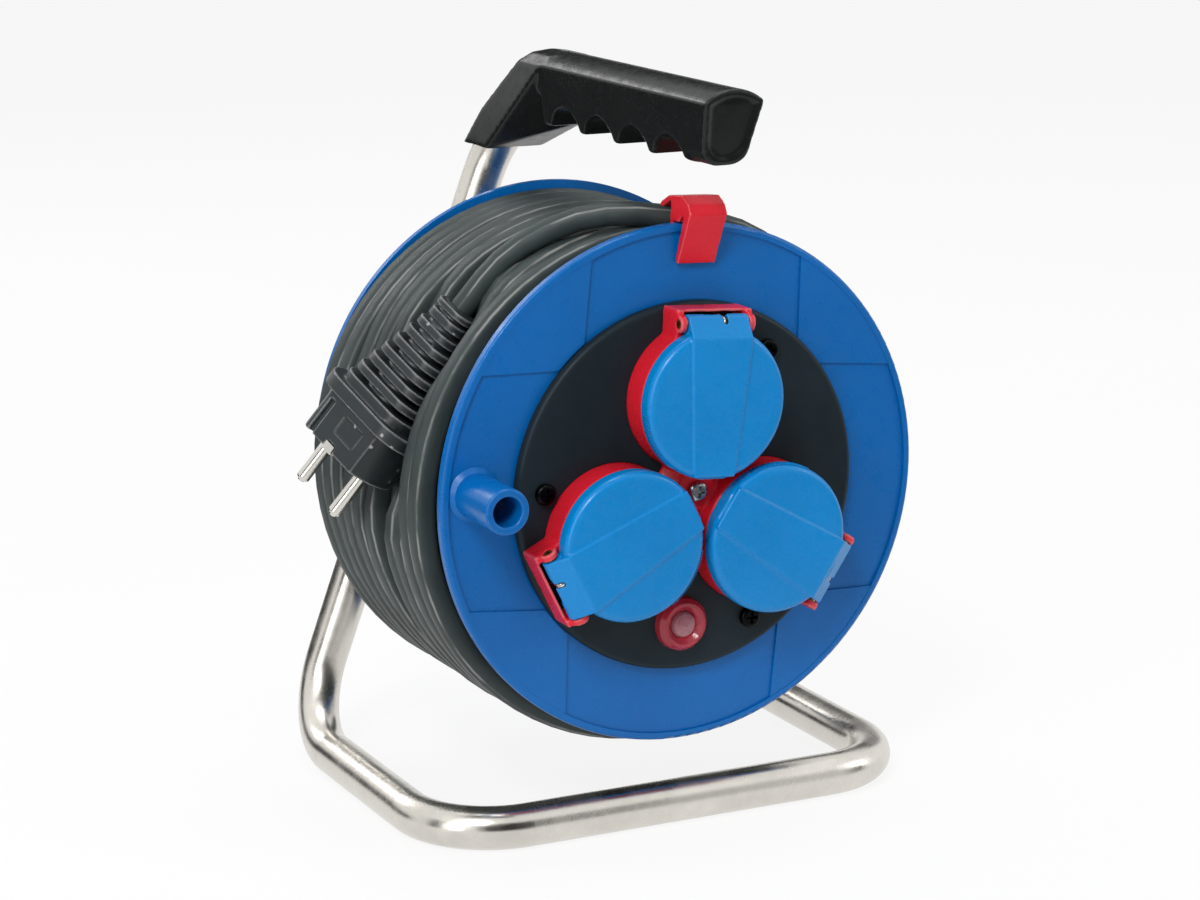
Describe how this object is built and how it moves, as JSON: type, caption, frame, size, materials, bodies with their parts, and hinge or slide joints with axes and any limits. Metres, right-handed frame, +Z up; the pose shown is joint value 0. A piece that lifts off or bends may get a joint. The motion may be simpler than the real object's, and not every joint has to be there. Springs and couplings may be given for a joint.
{
  "type": "extension cord reel",
  "caption": "Portable extension cord reel: turning drum with lidded sockets on a bent tube frame with a hand grip, cable and plug.",
  "frame": {"origin": "on the floor under the middle of the reel's width and depth, without the cable and plug", "axes": "+X to the right of the socket face, +Y from the socket face to the back along the drum's axis, +Z up"},
  "size_m": [0.2082, 0.18, 0.2583],
  "materials": {
    "zinc_tube": "bright zinc",
    "grip_plastic": "gloss",
    "steel_parts": "plated",
    "black_screw": "black",
    "nylon": "plain",
    "blue_plastic": "satin",
    "lid_blue": "satin",
    "black_plate": "satin",
    "soft_rubber": "matte",
    "red_plastic": "satin",
    "brass_contacts": "bright",
    "spring_bronze": "bright",
    "cutout_case": "plain",
    "clear_red": "clear",
    "grey_button": "satin",
    "cable_rubber": "matte",
    "plug_rubber": "satin",
    "plug_insert": "satin",
    "nickel_pins": "nickel",
    "earth_steel": "bright"
  },
  "bodies": {
    "frame": {"frame_tube": "zinc_tube", "handle_grip": "grip_plastic", "grip_screw": "steel_parts", "axle_bolt": "steel_parts", "axle_nut": "steel_parts", "axle_washer": "steel_parts", "saddle_washers": "steel_parts", "thrust_washer": "nylon"},
    "drum": {"drum_front": "blue_plastic", "drum_rear": "blue_plastic", "drum_screws": "steel_parts", "hub_bushes": "nylon", "face_plate": "black_plate", "plate_gasket": "soft_rubber", "plate_screws": "black_screw", "socket_block": "red_plastic", "socket_floors": "red_plastic", "centre_screw": "steel_parts", "contact_carrier": "nylon", "line_contacts": "brass_contacts", "neutral_contacts": "brass_contacts", "earth_bows": "spring_bronze", "earth_bar": "brass_contacts", "hinge_pins": "brass_contacts", "lid_springs": "steel_parts", "cutout_body": "cutout_case", "button_guard": "clear_red", "button_spring": "steel_parts", "cable_clip": "red_plastic", "core_grommet": "soft_rubber", "inner_cable": "cable_rubber", "cord_clamp": "nylon", "clamp_screws": "steel_parts", "cable_winding": "cable_rubber", "cable_tail": "cable_rubber", "plug_body": "plug_rubber", "plug_insert": "plug_insert", "plug_pins": "nickel_pins", "plug_earth_contacts": "earth_steel"},
    "lid_top": {"lid_top": "lid_blue", "lid_top_seal": "soft_rubber"},
    "lid_left": {"lid_left": "lid_blue", "lid_left_seal": "soft_rubber"},
    "lid_right": {"lid_right": "lid_blue", "lid_right_seal": "soft_rubber"},
    "reset_button": {"reset_button": "grey_button"},
    "winding_knob": {"winding_knob": "blue_plastic"}
  },
  "joints": [
    {"name": "drum_turn", "type": "hinge", "parent": "frame", "child": "drum", "pos_m": [0, 0.00395, 0.12], "axis": [0, 1, 0], "continuous": true},
    {"name": "lid_top_hinge", "type": "hinge", "parent": "drum", "child": "lid_top", "pos_m": [0.00376, -0.07055, 0.17808], "axis": [-0.9979, 0, 0.0645], "range_deg": [0, 110], "stiffness_Nm_per_rad": 0.02, "springref_deg": -28.65},
    {"name": "lid_left_hinge", "type": "hinge", "parent": "drum", "child": "lid_left", "pos_m": [-0.05218, -0.07055, 0.09421], "axis": [0.4431, 0, -0.8965], "range_deg": [0, 110], "stiffness_Nm_per_rad": 0.02, "springref_deg": -28.65},
    {"name": "lid_right_hinge", "type": "hinge", "parent": "drum", "child": "lid_right", "pos_m": [0.04842, -0.07055, 0.08771], "axis": [0.5548, 0, 0.832], "range_deg": [0, 110], "stiffness_Nm_per_rad": 0.02, "springref_deg": -28.65},
    {"name": "reset_press", "type": "slide", "parent": "drum", "child": "reset_button", "axis": [0, 1, 0], "range_m": [0, 0.0025], "stiffness_N_per_m": 300, "springref_m": -0.001, "deforming": ["button_spring"]},
    {"name": "knob_spin", "type": "hinge", "parent": "drum", "child": "winding_knob", "pos_m": [-0.07764, -0.06605, 0.12502], "axis": [0, 1, 0], "continuous": true}
  ]
}
